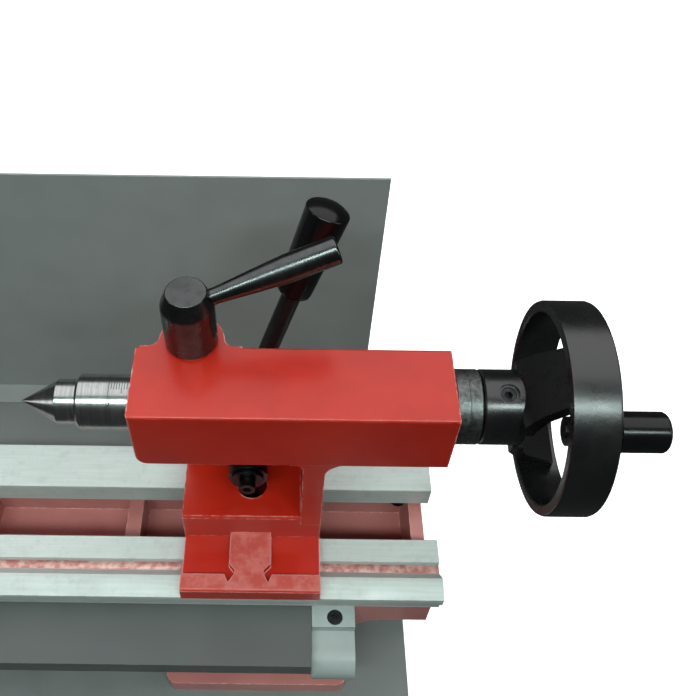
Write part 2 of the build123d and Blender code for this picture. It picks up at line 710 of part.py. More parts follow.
with BuildPart() as feed_screw:
    with BuildSketch(Plane.XZ):
        with BuildLine():
            Polyline(
                (13.0, AXIS_Z),
                (13.0, AXIS_Z + SCREW_R - 0.8),
                (13.8, AXIS_Z + SCREW_R),
                (76.8, AXIS_Z + SCREW_R),
                (76.8, AXIS_Z + 8.4),
                (79.8, AXIS_Z + 8.4),
                (79.8, AXIS_Z + SCREW_R),
                (108.9, AXIS_Z + SCREW_R),
                (109.5, AXIS_Z + SCREW_R - 0.6),
                (109.5, AXIS_Z),
                close=True,
            )
        make_face()
    revolve(axis=Axis((0, 0, AXIS_Z), (1, 0, 0)))
feed_screw.part.label = "feed_screw"
export_step(feed_screw.part, "parts/feed_screw.step")

with BuildPart() as handle_pin:
    with Locations((122.0, HANDLE_Y, HANDLE_Z)):
        Cylinder(2.5, 18.0, rotation=(0, 90, 0))
    with Locations((138.9, HANDLE_Y, HANDLE_Z)):
        Cylinder(3.0, 15.8, rotation=(0, 90, 0))
handle_pin.part.label = "handle_pin"
export_step(handle_pin.part, "parts/handle_pin.step")

with BuildPart() as handle_grip:
    with BuildSketch(Plane.XZ.offset(-HANDLE_Y)):
        with BuildLine():
            Polyline(
                (131.1, HANDLE_Z),
                (131.1, HANDLE_Z + 6.8),
                (131.7, HANDLE_Z + 7.4),
                (147.4, HANDLE_Z + 7.4),
                (148.4, HANDLE_Z + 6.9),
                (149.1, HANDLE_Z + 5.8),
                (149.1, HANDLE_Z),
                close=True,
            )
        make_face()
    revolve(axis=Axis((0, HANDLE_Y, HANDLE_Z), (1, 0, 0)))
    with Locations((138.5, HANDLE_Y, HANDLE_Z)):
        Cylinder(3.06, 17.0, rotation=(0, 90, 0), mode=Mode.SUBTRACT)
handle_grip.part.label = "handle_grip"
export_step(handle_grip.part, "parts/handle_grip.step")

# --- Quill lock ------------------------------------------------------------------------------------
ARM_RUN = (56.0, 14.7, 16.3)
ARM_LENGTH = sqrt(56.0**2 + 14.7**2 + 16.3**2)
ARM_START = (LOCK_X, LOCK_Y, 186.4)
ARM_SIDE = (-14.7, 56.0, 0.0)

with BuildPart() as lock_hub:
    with BuildSketch(Plane.XZ.offset(-LOCK_Y)):
        with BuildLine():
            Polyline(
                (LOCK_X, 166.4),
                (LOCK_X + 9.9, 166.4),
                (LOCK_X + 10.4, 166.9),
                (LOCK_X + 10.4, 187.0),
                (LOCK_X + 10.0, 189.0),
                (LOCK_X + 7.7, 194.5),
                (LOCK_X, 194.5),
                close=True,
            )
        make_face()
    revolve(axis=Axis((LOCK_X, LOCK_Y, 0), (0, 0, 1)))
    with Locations((LOCK_X, LOCK_Y, 174.0)):
        Cylinder(4.02, 19.2, mode=Mode.SUBTRACT)
    with BuildSketch(Plane(origin=ARM_START, x_dir=ARM_SIDE, z_dir=ARM_RUN)):
        Circle(3.32)
    extrude(amount=20.0, mode=Mode.SUBTRACT)
lock_hub.part.label = "lock_hub"
export_step(lock_hub.part, "parts/lock_hub.step")

with BuildPart() as lock_arm:
    with BuildSketch(Plane(origin=ARM_START, x_dir=ARM_RUN, z_dir=ARM_SIDE)):
        with BuildLine():
            Polyline(
                (0.5, 0),
                (0.5, 3.3),
                (12.0, 3.3),
                (40.0, 5.55),
                (ARM_LENGTH - 0.7, 5.55),
                (ARM_LENGTH, 4.85),
                (ARM_LENGTH, 0),
                close=True,
            )
        make_face()
    revolve(axis=Axis(ARM_START, ARM_RUN))
lock_arm.part.label = "lock_arm"
export_step(lock_arm.part, "parts/lock_arm.step")

with BuildPart() as lock_stud:
    with Locations((LOCK_X, LOCK_Y, 160.0)):
        Cylinder(4.0, 45.0)
lock_stud.part.label = "lock_stud"
export_step(lock_stud.part, "parts/lock_stud.step")

# --- Bed clamp -------------------------------------------------------------------------------------
LEVER_X = sin(radians(LEVER_LEAN)) * cos(radians(LEVER_TILT))
LEVER_BACK = sin(radians(LEVER_TILT))
LEVER_UP = cos(radians(LEVER_LEAN)) * cos(radians(LEVER_TILT))
ALONG_LEVER = (LEVER_X, LEVER_BACK, LEVER_UP)
ACROSS_LEVER = (cos(radians(LEVER_LEAN)), 0, -sin(radians(LEVER_LEAN)))

with BuildPart() as cam_shaft:
    with BuildSketch(Plane.XZ.offset(-42.4)):
        with Locations((0, CAM_Z)):
            Circle(7.0)
    extrude(amount=42.4 - 12.9)
    with BuildSketch(Plane.XZ.offset(-12.9)):
        with Locations((-CAM_THROW, CAM_Z)):
            Circle(5.3)
    extrude(amount=12.9 + 4.6)
    with BuildSketch(Plane.XZ.offset(-56.5)):
        with Locations((0, CAM_Z)):
            Circle(6.0)
    extrude(amount=56.5 - 42.4)
    with BuildSketch(Plane.XZ.offset(-8.0)):
        with Locations((-CAM_THROW, CAM_Z)):
            Circle(2.52)
    extrude(amount=20.0, mode=Mode.SUBTRACT)
cam_shaft.part.label = "cam_shaft"
export_step(cam_shaft.part, "parts/cam_shaft.step")

with BuildPart() as cam_washer:
    with BuildSketch(Plane.XZ.offset(4.65)):
        with Locations((-CAM_THROW, CAM_Z)):
            Circle(7.0)
            Circle(2.6, mode=Mode.SUBTRACT)
    extrude(amount=1.3)
cam_washer.part.label = "cam_washer"
export_step(cam_washer.part, "parts/cam_washer.step")

with BuildPart() as cam_screw:
    with BuildSketch(Plane.XZ.offset(6.0)):
        with Locations((-CAM_THROW, CAM_Z)):
            Circle(3.7)
    extrude(amount=4.5)
    with BuildSketch(Plane.XZ.offset(-6.0)):
        with Locations((-CAM_THROW, CAM_Z)):
            Circle(2.5)
    extrude(amount=12.0)
    with BuildSketch(Plane.XZ.offset(7.6)):
        with Locations((-CAM_THROW, CAM_Z)):
            RegularPolygon(2.0, 6)
    extrude(amount=4.0, mode=Mode.SUBTRACT)
cam_screw.part.label = "cam_screw"
export_step(cam_screw.part, "parts/cam_screw.step")

with BuildPart() as cam_hub:
    with BuildSketch(Plane.XZ.offset(-57.5)):
        with Locations((0, CAM_Z)):
            Circle(10.0)
    extrude(amount=57.5 - 42.5)
    with BuildSketch(Plane.XZ.offset(-56.6)):
        with Locations((0, CAM_Z)):
            Circle(6.02)
    extrude(amount=20.0, mode=Mode.SUBTRACT)
    with BuildSketch(Plane(origin=(0, LEVER_Y, CAM_Z), x_dir=ACROSS_LEVER, z_dir=ALONG_LEVER)):
        Circle(4.42)
    extrude(amount=20.0, mode=Mode.SUBTRACT)
cam_hub.part.label = "cam_hub"
export_step(cam_hub.part, "parts/cam_hub.step")

with BuildPart() as cam_rod:
    with BuildSketch(Plane(origin=(0, LEVER_Y, CAM_Z), x_dir=ALONG_LEVER, z_dir=ACROSS_LEVER)):
        with BuildLine():
            Polyline((7.4, 0), (7.4, 4.4), (53.9, 4.4), (53.9, 3.0), (86.0, 3.0), (86.0, 0), close=True)
        make_face()
    revolve(axis=Axis((0, LEVER_Y, CAM_Z), ALONG_LEVER))
cam_rod.part.label = "cam_rod"
export_step(cam_rod.part, "parts/cam_rod.step")

with BuildPart() as cam_grip:
    with BuildSketch(Plane(origin=(0, LEVER_Y, CAM_Z), x_dir=ALONG_LEVER, z_dir=ACROSS_LEVER)):
        with BuildLine():
            Polyline(
                (54.0, 3.02),
                (54.0, 6.6),
                (54.7, 7.6),
                (56.5, 8.0),
                (96.4, 9.6),
                (97.0, 9.3),
                (98.6, 6.0),
                (99.3, 3.0),
                (99.5, 0),
                (86.1, 0),
                (86.1, 3.02),
                close=True,
            )
        make_face()
    revolve(axis=Axis((0, LEVER_Y, CAM_Z), ALONG_LEVER))
cam_grip.part.label = "cam_grip"
export_step(cam_grip.part, "parts/cam_grip.step")

BOLT_X = -1.28
with BuildPart() as draw_bolt:
    with BuildSketch(Plane.XZ.offset(-5.4)):
        with Locations((BOLT_X, CAM_Z)):
            Circle(8.6)
    extrude(amount=9.6)
    with Locations((BOLT_X, 0.6, (36.2 + 95.0) / 2)):
        Cylinder(4.5, 95.0 - 36.2)
    with BuildSketch(Plane.XZ.offset(-10.0)):
        with Locations((BOLT_X, CAM_Z)):
            Circle(5.8)
    extrude(amount=20.0, mode=Mode.SUBTRACT)
draw_bolt.part.label = "draw_bolt"
export_step(draw_bolt.part, "parts/draw_bolt.step")

with BuildPart() as clamp_plate:
    with BuildSketch(Plane.XY.offset(35.5)):
        with Locations((BOLT_X, -3.5)):
            RectangleRounded(36.0, 49.0, 4.0)
    extrude(amount=12.1)
    with Locations((BOLT_X, 0.6, 41.5)):
        Cylinder(4.6, 20.0, mode=Mode.SUBTRACT)
    with Locations((BOLT_X, 0.6, 38.7)):
        Cylinder(8.0, 6.6, mode=Mode.SUBTRACT)
clamp_plate.part.label = "clamp_plate"
export_step(clamp_plate.part, "parts/clamp_plate.step")

with BuildPart() as clamp_nut:
    with BuildSketch(Plane.XY.offset(35.8)):
        with Locations((BOLT_X, 0.6)):
            RegularPolygon(7.5, 6)
            Circle(4.52, mode=Mode.SUBTRACT)
    extrude(amount=6.1)
clamp_nut.part.label = "clamp_nut"
export_step(clamp_nut.part, "parts/clamp_nut.step")
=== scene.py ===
import json
import math

import bmesh
import bpy
from mathutils import Matrix, Vector


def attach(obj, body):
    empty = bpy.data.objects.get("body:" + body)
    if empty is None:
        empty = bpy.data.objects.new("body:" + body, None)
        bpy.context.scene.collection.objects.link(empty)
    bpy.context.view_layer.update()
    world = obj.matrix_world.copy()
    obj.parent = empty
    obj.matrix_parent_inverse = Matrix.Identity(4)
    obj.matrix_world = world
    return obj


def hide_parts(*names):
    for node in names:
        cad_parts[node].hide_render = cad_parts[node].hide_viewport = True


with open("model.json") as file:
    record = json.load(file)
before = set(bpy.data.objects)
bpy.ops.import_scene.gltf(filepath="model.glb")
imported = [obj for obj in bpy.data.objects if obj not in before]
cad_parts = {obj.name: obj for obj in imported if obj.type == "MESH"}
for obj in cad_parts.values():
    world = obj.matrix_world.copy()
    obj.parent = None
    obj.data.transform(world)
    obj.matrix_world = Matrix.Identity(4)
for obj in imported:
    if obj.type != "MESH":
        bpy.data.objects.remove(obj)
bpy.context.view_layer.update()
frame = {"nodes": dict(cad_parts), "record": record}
nodes = frame["nodes"]

MM = 0.001
X = (1, 0, 0)
AXIS_Z = 151.5
ON_AXIS = (0, 0, AXIS_Z)
HANDLE_Y = -24.8
HANDLE_Z = AXIS_Z + 21.6
LOCK = (-22.5, 19.8)
CAM_Z = 100.9
LEVER_Y = 49.0
LEAN = math.radians(19.2)
LEAN_BACK = math.radians(12.0)
QUILL_R = 11.0
ZERO_MARK_X = -52.8
MARK_HALF_WIDTH = 0.11
MARK_START = math.radians(9.4)
FIGURE_START = math.radians(30.0)
FIGURE_TOP = 2.6
LAST_MARK = 60
LIP_LOW = 71.0
GROOVE_MIDDLE = (-54.4, -26.98, 58.53)
GROOVE_SIZE = (281.0, 3.92, 0.08)

# ---------------------------------------------------------------- camera
EYE = (15.0, -184.6, 420.8)
TILT = math.radians(51.7)
ROLL = math.radians(0.75)
ahead = Vector((0, math.cos(TILT), -math.sin(TILT)))
over = Vector((0, math.sin(TILT), math.cos(TILT)))
side = Vector((1, 0, 0))
cam_right = side * math.cos(ROLL) + over * math.sin(ROLL)
cam_up = over * math.cos(ROLL) - side * math.sin(ROLL)
lens_data = bpy.data.cameras.new("camera")
lens_data.sensor_width = 36.0
lens_data.lens = 42.98
lens_data.shift_x = 0.0876
lens_data.clip_start = 0.01
lens_data.clip_end = 20.0
camera = bpy.data.objects.new("camera", lens_data)
bpy.context.scene.collection.objects.link(camera)
turn = Matrix((cam_right, cam_up, -ahead)).transposed().to_4x4()
camera.matrix_world = Matrix.Translation(Vector(EYE) * MM) @ turn
bpy.context.scene.camera = camera


# ---------------------------------------------------------------- finishes
def sheet_of_nodes(name):
    """A new material, with its node tree, its shader and the piece's own coordinates."""
    made = bpy.data.materials.new(name)
    made.use_nodes = True
    tree = made.node_tree
    shader = tree.nodes["Principled BSDF"]
    where = tree.nodes.new("ShaderNodeTexCoord")
    return made, tree, shader, where.outputs["Object"]


def grain(tree, place, scale, detail=3.0, rough=0.55, stretch=(1, 1, 1)):
    """Noise in object space, stretched along the way the tool ran."""
    shift = tree.nodes.new("ShaderNodeMapping")
    shift.inputs["Scale"].default_value = stretch
    tree.links.new(place, shift.inputs["Vector"])
    noise = tree.nodes.new("ShaderNodeTexNoise")
    noise.inputs["Scale"].default_value = scale
    noise.inputs["Detail"].default_value = detail
    noise.inputs["Roughness"].default_value = rough
    tree.links.new(shift.outputs["Vector"], noise.inputs["Vector"])
    return noise.outputs["Fac"]


def between(tree, factor, low, high, start=0.0, end=1.0):
    """A value from low to high as the factor runs from start to end."""
    ramp = tree.nodes.new("ShaderNodeMapRange")
    ramp.inputs["From Min"].default_value = start
    ramp.inputs["From Max"].default_value = end
    ramp.inputs["To Min"].default_value = low
    ramp.inputs["To Max"].default_value = high
    tree.links.new(factor, ramp.inputs["Value"])
    return ramp.outputs["Result"]


def blend_colours(tree, factor, first, second):
    """The first colour where the factor is 0, and the second where it is 1."""
    mix = tree.nodes.new("ShaderNodeMix")
    mix.data_type = "RGBA"
    tree.links.new(factor, mix.inputs["Factor"])
    for socket, value in ((mix.inputs["A"], first), (mix.inputs["B"], second)):
        if isinstance(value, tuple):
            socket.default_value = (*value, 1.0)
        else:
            tree.links.new(value, socket)
    return mix.outputs["Result"]


def times(tree, first, second):
    node = tree.nodes.new("ShaderNodeMath")
    node.operation = "MULTIPLY"
    node.use_clamp = True
    tree.links.new(first, node.inputs[0])
    tree.links.new(second, node.inputs[1])
    return node.outputs[0]


def bumped(tree, shader, height, distance, strength=1.0, under=None):
    """Raises the surface by a height, over another bump where one is under it."""
    bump = tree.nodes.new("ShaderNodeBump")
    bump.inputs["Distance"].default_value = distance
    bump.inputs["Strength"].default_value = strength
    tree.links.new(height, bump.inputs["Height"])
    if under is not None:
        tree.links.new(under, bump.inputs["Normal"])
    tree.links.new(bump.outputs["Normal"], shader.inputs["Normal"])
    return bump.outputs["Normal"]


def edge_wear(tree, width):
    """How sharp the surface turns here: 0 on a flat, 1 on an edge."""
    bevel = tree.nodes.new("ShaderNodeBevel")
    bevel.samples = 6
    bevel.inputs["Radius"].default_value = width
    shape = tree.nodes.new("ShaderNodeNewGeometry")
    dot = tree.nodes.new("ShaderNodeVectorMath")
    dot.operation = "DOT_PRODUCT"
    tree.links.new(bevel.outputs["Normal"], dot.inputs[0])
    tree.links.new(shape.outputs["Normal"], dot.inputs[1])
    return between(tree, dot.outputs["Value"], 1.0, 0.0, 0.93, 0.998)


DEEP_RED = (0.47, 0.012, 0.003)
LIGHT_RED = (0.56, 0.020, 0.006)
# pale pink for the sharp edges: partly chipped paint, partly a painted highlight along the edge
CHIPPED_AND_HIGHLIT_EDGE = (0.80, 0.48, 0.44)
# paler pink for flat tops: partly paint rubbed thin, partly a painted sheen of light
RUBBED_AND_SHEEN_RED = (0.66, 0.19, 0.165)


def red_enamel(name, worn_and_highlit, deep=DEEP_RED, light=LIGHT_RED, rubbed_and_sheen_above=None):
    """Red enamel, its edges chipped and painted with a highlight and, over a height in metres, its top
    rubbed thin and painted with a pale sheen.
    """
    made, tree, shader, place = sheet_of_nodes(name)
    cloud = grain(tree, place, 38.0, 4.0)
    paint = blend_colours(tree, between(tree, cloud, 0.0, 1.0, 0.35, 0.68), deep, light)
    edge = edge_wear(tree, 0.0009)
    loose = 0.25 * worn_and_highlit
    patch = between(tree, grain(tree, place, 260.0, 5.0, 0.65), 0.0, 1.0, 0.62 - loose, 0.80 - loose)
    # sharp edges painted pale pink: partly chipped paint, partly a painted highlight
    chip_and_highlight = times(tree, edge, patch)
    colour = blend_colours(tree, chip_and_highlight, paint, CHIPPED_AND_HIGHLIT_EDGE)
    # tops above the given height painted paler pink: partly rubbed paint, partly a painted reflection on
    # the flat tops
    if rubbed_and_sheen_above:
        height = tree.nodes.new("ShaderNodeSeparateXYZ")
        tree.links.new(place, height.inputs["Vector"])
        top = between(tree, height.outputs["Z"], 0.0, 0.85, rubbed_and_sheen_above, rubbed_and_sheen_above + 0.0002)
        thin = between(tree, grain(tree, place, 150.0, 6.0, 0.7), 0.45, 1.0, 0.40, 0.58)
        colour = blend_colours(tree, times(tree, top, thin), colour, RUBBED_AND_SHEEN_RED)
    tree.links.new(colour, shader.inputs["Base Color"])
    shader.inputs["Roughness"].default_value = 0.36
    shader.inputs["Coat Weight"].default_value = 0.25
    shader.inputs["Coat Roughness"].default_value = 0.14
    peel = grain(tree, place, 420.0, 2.0)
    first = bumped(tree, shader, peel, 0.00005, 0.5)
    bumped(tree, shader, cloud, 0.0004, 0.35, first)
    return made


def plain_paint(name, colour, second, roughness, peel_scale=600.0, peel_depth=0.00003, shine=0.5):
    """A paint of two close shades, with the fine ripple that sprayed paint has."""
    made, tree, shader, place = sheet_of_nodes(name)
    cloud = between(tree, grain(tree, place, 45.0, 4.0), 0.0, 1.0, 0.3, 0.7)
    tree.links.new(blend_colours(tree, cloud, colour, second), shader.inputs["Base Color"])
    sheen = between(tree, grain(tree, place, 90.0, 5.0), roughness * 0.85, roughness * 1.2, 0.3, 0.7)
    tree.links.new(sheen, shader.inputs["Roughness"])
    shader.inputs["Specular IOR Level"].default_value = shine
    bumped(tree, shader, grain(tree, place, peel_scale, 2.0), peel_depth, 0.6)
    return made


def metal(name, colour, second, roughness, stretch=(1, 1, 1), scale=400.0, depth=0.00003,
          spots=0.0, purity=1.0):
    """Bare metal with tool lines along the stretch, and stains where spots is over 0."""
    made, tree, shader, place = sheet_of_nodes(name)
    lines = grain(tree, place, scale, 3.0, 0.6, stretch)
    cloud = grain(tree, place, 70.0, 5.0, 0.6)
    base = blend_colours(tree, between(tree, lines, 0.0, 1.0, 0.3, 0.7), colour, second)
    if spots:
        stain = between(tree, grain(tree, place, 190.0, 6.0, 0.7), 0.0, spots, 0.52, 0.72)
        base = blend_colours(tree, stain, base, tuple(c * 0.35 for c in colour))
    tree.links.new(base, shader.inputs["Base Color"])
    shader.inputs["Metallic"].default_value = purity
    sheen = between(tree, cloud, roughness * 0.75, roughness * 1.3, 0.3, 0.7)
    tree.links.new(sheen, shader.inputs["Roughness"])
    bumped(tree, shader, lines, depth, 0.6)
    return made


def threaded(name, colour, pitch):
    """Steel with rings a pitch apart along X, as the crests of a thread, with painted shade in the roots
    between them.
    """
    made, tree, shader, place = sheet_of_nodes(name)
    wave = tree.nodes.new("ShaderNodeTexWave")
    wave.bands_direction = "X"
    wave.inputs["Scale"].default_value = 0.05 * math.tau / pitch
    tree.links.new(place, wave.inputs["Vector"])
    # thread roots painted darker, as painted shade in the grooves
    root_shade = tuple(c * 0.35 for c in colour)
    tree.links.new(blend_colours(tree, wave.outputs["Fac"], root_shade, colour), shader.inputs["Base Color"])
    shader.inputs["Metallic"].default_value = 1.0
    shader.inputs["Roughness"].default_value = 0.34
    bumped(tree, shader, wave.outputs["Fac"], 0.0006, 0.9)
    return made


ALONG_X = (0.05, 1, 1)
ROUND_X = (1, 0.02, 0.02)
EVEN = (1, 1, 1)
FINISH = {
    "red_enamel": red_enamel("red_enamel", 0.75),
    "ground_steel": metal(
        "ground_steel", (0.56, 0.60, 0.58), (0.64, 0.68, 0.66), 0.5, ALONG_X, 700.0, 0.00002, 0.2, 0.12),
    "bright_steel": metal(
        "bright_steel", (0.34, 0.36, 0.355), (0.50, 0.52, 0.515), 0.22, ROUND_X, 1100.0, 0.00002, 0.3),
    "dark_steel": metal("dark_steel", (0.05, 0.05, 0.055), (0.10, 0.10, 0.105), 0.33, EVEN, 300.0),
    "collar_steel": metal(
        "collar_steel", (0.10, 0.105, 0.105), (0.22, 0.23, 0.225), 0.42, EVEN, 620.0, 0.00025, 0.6),
    "black_enamel": plain_paint(
        "black_enamel", (0.003, 0.003, 0.0035), (0.006, 0.006, 0.0065), 0.27, shine=0.9),
    "black_oxide": metal(
        "black_oxide", (0.075, 0.08, 0.08), (0.11, 0.115, 0.115), 0.27, EVEN, 240.0, 0.00004),
    "black_plastic": plain_paint(
        "black_plastic", (0.003, 0.003, 0.0035), (0.005, 0.005, 0.0055), 0.2, shine=0.35),
    "grey_sheet": plain_paint(
        "grey_sheet", (0.096, 0.100, 0.099), (0.110, 0.114, 0.113), 0.6, 900.0, 0.00004),
    "grey_cast": plain_paint("grey_cast", (0.34, 0.38, 0.37), (0.42, 0.46, 0.45), 0.45, 300.0, 0.0001),
    "bronze": metal("bronze", (0.52, 0.33, 0.15), (0.66, 0.44, 0.22), 0.3, (1, 0.05, 0.05), 900.0),
    "screw_steel": metal("screw_steel", (0.03, 0.03, 0.033), (0.06, 0.06, 0.064), 0.36, EVEN, 500.0),
    "thread_steel": threaded("thread_steel", (0.42, 0.42, 0.43), 0.0015),
}
BLACK_ROD = plain_paint("black_rod", (0.006, 0.006, 0.007), (0.010, 0.010, 0.011), 0.3, shine=0.4)
GUARD_SHEET = plain_paint("guard_sheet", (0.27, 0.28, 0.275), (0.30, 0.31, 0.305), 0.6, 900.0, 0.00004)
TRAY_SHEET = plain_paint("tray_sheet", (0.165, 0.172, 0.169), (0.19, 0.198, 0.195), 0.6, 900.0, 0.00004)
# tailstock base: edges and tops painted pale, partly wear and partly painted highlight and reflection
WORN_AND_SHEEN_ENAMEL = red_enamel("worn_and_sheen_enamel", 1.2, rubbed_and_sheen_above=LIP_LOW * MM)
DUSTY_ENAMEL = red_enamel("dusty_enamel", 0.8, (0.50, 0.17, 0.155), (0.58, 0.21, 0.195))
MARK_INK = plain_paint("mark_ink", (0.010, 0.010, 0.010), (0.02, 0.02, 0.02), 0.6)
SLOT_OF = {row["node"]: row["material_slot"] for row in frame["record"]["subparts"]}
BODY_OF = {
    node: body for body, members in frame["record"]["behaviour"]["bodies"].items() for node in members}


# ---------------------------------------------------------------- shaping helpers
SHARP = math.radians(30.0)


def finished(name, shape, body, node=None, slot=None, material=None, bevel=0.0, segments=3):
    """Turns a bmesh into a piece that rides on a body and takes a finish."""
    bmesh.ops.recalc_face_normals(shape, faces=shape.faces)
    mesh = bpy.data.meshes.new(name)
    shape.to_mesh(mesh)
    shape.free()
    for polygon in mesh.polygons:
        polygon.use_smooth = True
    piece = bpy.data.objects.new(name, mesh)
    bpy.context.scene.collection.objects.link(piece)
    if bevel:
        softened = piece.modifiers.new("soft_edges", "BEVEL")
        softened.width = bevel
        softened.segments = segments
        softened.limit_method = "ANGLE"
        softened.angle_limit = SHARP
        even = piece.modifiers.new("even_shading", "WEIGHTED_NORMAL")
        even.mode = "FACE_AREA"
        even.weight = 100
    chosen = slot or SLOT_OF[node]
    mesh.materials.append(material or FINISH[chosen])
    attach(piece, body)
    if node:
        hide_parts(node)
    return piece


ROUND_STEPS = 96


def turned(name, origin, along, outline, node, bevel, material=None):
    """A lathe-turned piece: an outline of (length, radius) in mm, spun round its axis."""
    shape = bmesh.new()
    ring = [shape.verts.new((s * MM, 0, r * MM)) for s, r in outline]
    for a, b in zip(ring, ring[1:]):
        shape.edges.new((a, b))
    if outline[0][1] > 0 or outline[-1][1] > 0:
        shape.edges.new((ring[-1], ring[0]))
    bmesh.ops.spin(shape, geom=shape.verts[:] + shape.edges[:], cent=(0, 0, 0), axis=X,
                   dvec=(0, 0, 0), angle=math.tau, steps=ROUND_STEPS, use_merge=True, use_duplicate=False)
    bmesh.ops.remove_doubles(shape, verts=shape.verts, dist=1e-7)
    swing = Vector(X).rotation_difference(Vector(along).normalized()).to_matrix().to_4x4()
    shape.transform(Matrix.Translation(Vector(origin) * MM) @ swing)
    return finished(name, shape, BODY_OF[node], node, bevel=bevel * MM, material=material)


def dressed(node, bevel, material=None):
    """A copy of a CAD node with its flats joined up and its sharp edges eased."""
    shape = bmesh.new()
    shape.from_mesh(nodes[node].data)
    bmesh.ops.remove_doubles(shape, verts=shape.verts, dist=2e-6)
    bmesh.ops.dissolve_limit(shape, angle_limit=math.radians(0.6), use_dissolve_boundaries=False,
                             verts=shape.verts, edges=shape.edges)
    return finished(node + "_dressed", shape, BODY_OF[node], node, bevel=bevel * MM, segments=2,
                    material=material)



# ---------------------------------------------------------------- quill and dead centre
turned("quill_turned", ON_AXIS, X, [
    (-66.1, 8.89), (-66.1, 9.8), (-64.9, 11.0), (55.1, 11.0), (55.9, 10.2),
    (55.9, 8.0), (43.9, 8.0), (43.9, 6.0), (-8.0, 6.0), (-8.0, 7.44)], "quill", 0.12)
turned("centre_turned", ON_AXIS, X, [
    (-88.8, 0), (-88.7, 0.2), (-74.4, 8.45), (-73.9, 8.85), (-66.1, 8.85), (-11.1, 7.476),
    (-10.1, 6.4), (-10.1, 0)], "dead_centre", 0.1)
turned("collar_turned", ON_AXIS, X, [
    (76.5, 8.5), (76.5, 11.0), (79.33, 11.0), (79.33, 14.4), (79.73, 14.8), (84.2, 14.8),
    (84.35, 14.62), (84.7, 14.62), (84.85, 14.8), (88.8, 14.8), (89.3, 14.3), (89.3, 5.07),
    (84.5, 5.07), (84.5, 8.5)], "bearing_collar", 0.12)
turned("feed_screw_turned", ON_AXIS, X, [
    (13.0, 0), (13.0, 4.2), (13.8, 5.0), (76.8, 5.0), (76.8, 8.4), (79.8, 8.4), (79.8, 5.0),
    (108.9, 5.0), (109.5, 4.4), (109.5, 0)], "feed_screw", 0.15)
turned("grip_turned", (0, HANDLE_Y, HANDLE_Z), X, [
    (131.1, 3.06), (131.1, 6.9), (131.6, 7.4), (147.4, 7.4), (148.4, 6.9), (149.1, 5.8), (149.1, 0),
    (147.0, 0), (147.0, 3.06)], "handle_grip", 0.4)

# ---------------------------------------------------------------- quill lock
arm_run = Vector((56.0, 14.7, 16.3))
turned("lock_hub_turned", (LOCK[0], LOCK[1], 0), (0, 0, 1), [
    (166.4, 4.02), (166.4, 9.9), (166.9, 10.4), (187.0, 10.4), (189.0, 10.0), (194.5, 7.7),
    (194.5, 0), (183.6, 0), (183.6, 4.02)], "lock_hub", 0.5)
turned("lock_arm_turned", (LOCK[0], LOCK[1], 186.4), arm_run, [
    (0.5, 0), (0.5, 3.3), (12.0, 3.3), (26.0, 4.5), (40.0, 5.55), (arm_run.length - 0.7, 5.55),
    (arm_run.length, 4.85), (arm_run.length, 0)], "lock_arm", 0.4)

# ---------------------------------------------------------------- clamp lever
level = math.cos(LEAN_BACK)
lean = (math.sin(LEAN) * level, math.sin(LEAN_BACK), math.cos(LEAN) * level)
turned("clamp_rod_turned", (0, LEVER_Y, CAM_Z), lean, [
    (7.4, 0), (7.4, 4.4), (53.9, 4.4), (53.9, 3.0), (86.0, 3.0), (86.0, 0)], "cam_rod", 0.2,
    material=BLACK_ROD)
turned("clamp_grip_turned", (0, LEVER_Y, CAM_Z), lean, [
    (54.0, 3.02), (54.0, 6.6), (54.7, 7.6), (56.5, 8.0), (96.4, 9.6), (97.0, 9.3), (98.0, 7.6),
    (98.9, 5.2), (99.4, 2.6), (99.5, 0), (86.1, 0), (86.1, 3.02)], "cam_grip", 0.3)

# ---------------------------------------------------------------- leadscrew
turned("leadscrew_turned", (0, -58.0, 31.5), X, [
    (-194.5, 0), (-194.5, 6.0), (-180.4, 6.0), (-180.4, 7.2), (-179.6, 8.0), (26.5, 8.0),
    (27.3, 7.2), (27.3, 6.0), (44.9, 6.0), (44.9, 0)], "leadscrew", 0.2)

# ---------------------------------------------------------------- everything else keeps its CAD shape
EASED = {
    "tailstock_body": 0.35, "tailstock_base": 0.5, "bed_casting": 0.6, "front_way": 0.25,
    "rear_way": 0.25, "handwheel": 0.3, "leadscrew_bracket": 0.4, "left_bracket": 0.4,
    "leadscrew_cover": 0.15, "splash_guard": 0.15, "cam_hub": 0.4, "draw_bolt": 0.3,
    "clamp_plate": 0.5, "cam_screw": 0.25, "cam_washer": 0.15, "cam_shaft": 0.2,
}
SPECIAL = {
    "splash_guard": GUARD_SHEET,
    "chip_tray": TRAY_SHEET,
    "tailstock_base": WORN_AND_SHEEN_ENAMEL,
    "bed_casting": DUSTY_ENAMEL,
}
for node, width in EASED.items():
    dressed(node, width, material=SPECIAL.get(node))
for node, shape in nodes.items():
    if not shape.hide_render:
        shape.data.materials.clear()
        shape.data.materials.append(SPECIAL.get(node) or FINISH[SLOT_OF[node]])

# ---------------------------------------------------------------- quill graduations
marks = bmesh.new()
for count in range(0, LAST_MARK + 1):
    reach = 5.2 if count % 5 == 0 else 3.4
    if count % 10 == 0:
        reach = 6.6
    x = ZERO_MARK_X + count
    low, high = x - MARK_HALF_WIDTH, x + MARK_HALF_WIDTH
    inside, outside = QUILL_R - 0.1, QUILL_R + 0.018
    corners = [
        marks.verts.new((along * MM, 0, away * MM))
        for along, away in ((low, inside), (low, outside), (high, outside), (high, inside))]
    face = marks.faces.new(corners)
    bmesh.ops.rotate(marks, verts=corners, cent=(0, 0, 0), matrix=Matrix.Rotation(-MARK_START, 3, "X"))
    bmesh.ops.spin(marks, geom=[face], cent=(0, 0, 0), axis=X, dvec=(0, 0, 0), angle=reach / QUILL_R,
                   steps=6, use_duplicate=False)
marks.transform(Matrix.Translation((0, 0, AXIS_Z * MM)))
finished("quill_marks", marks, "quill", slot="bright_steel", material=MARK_INK)


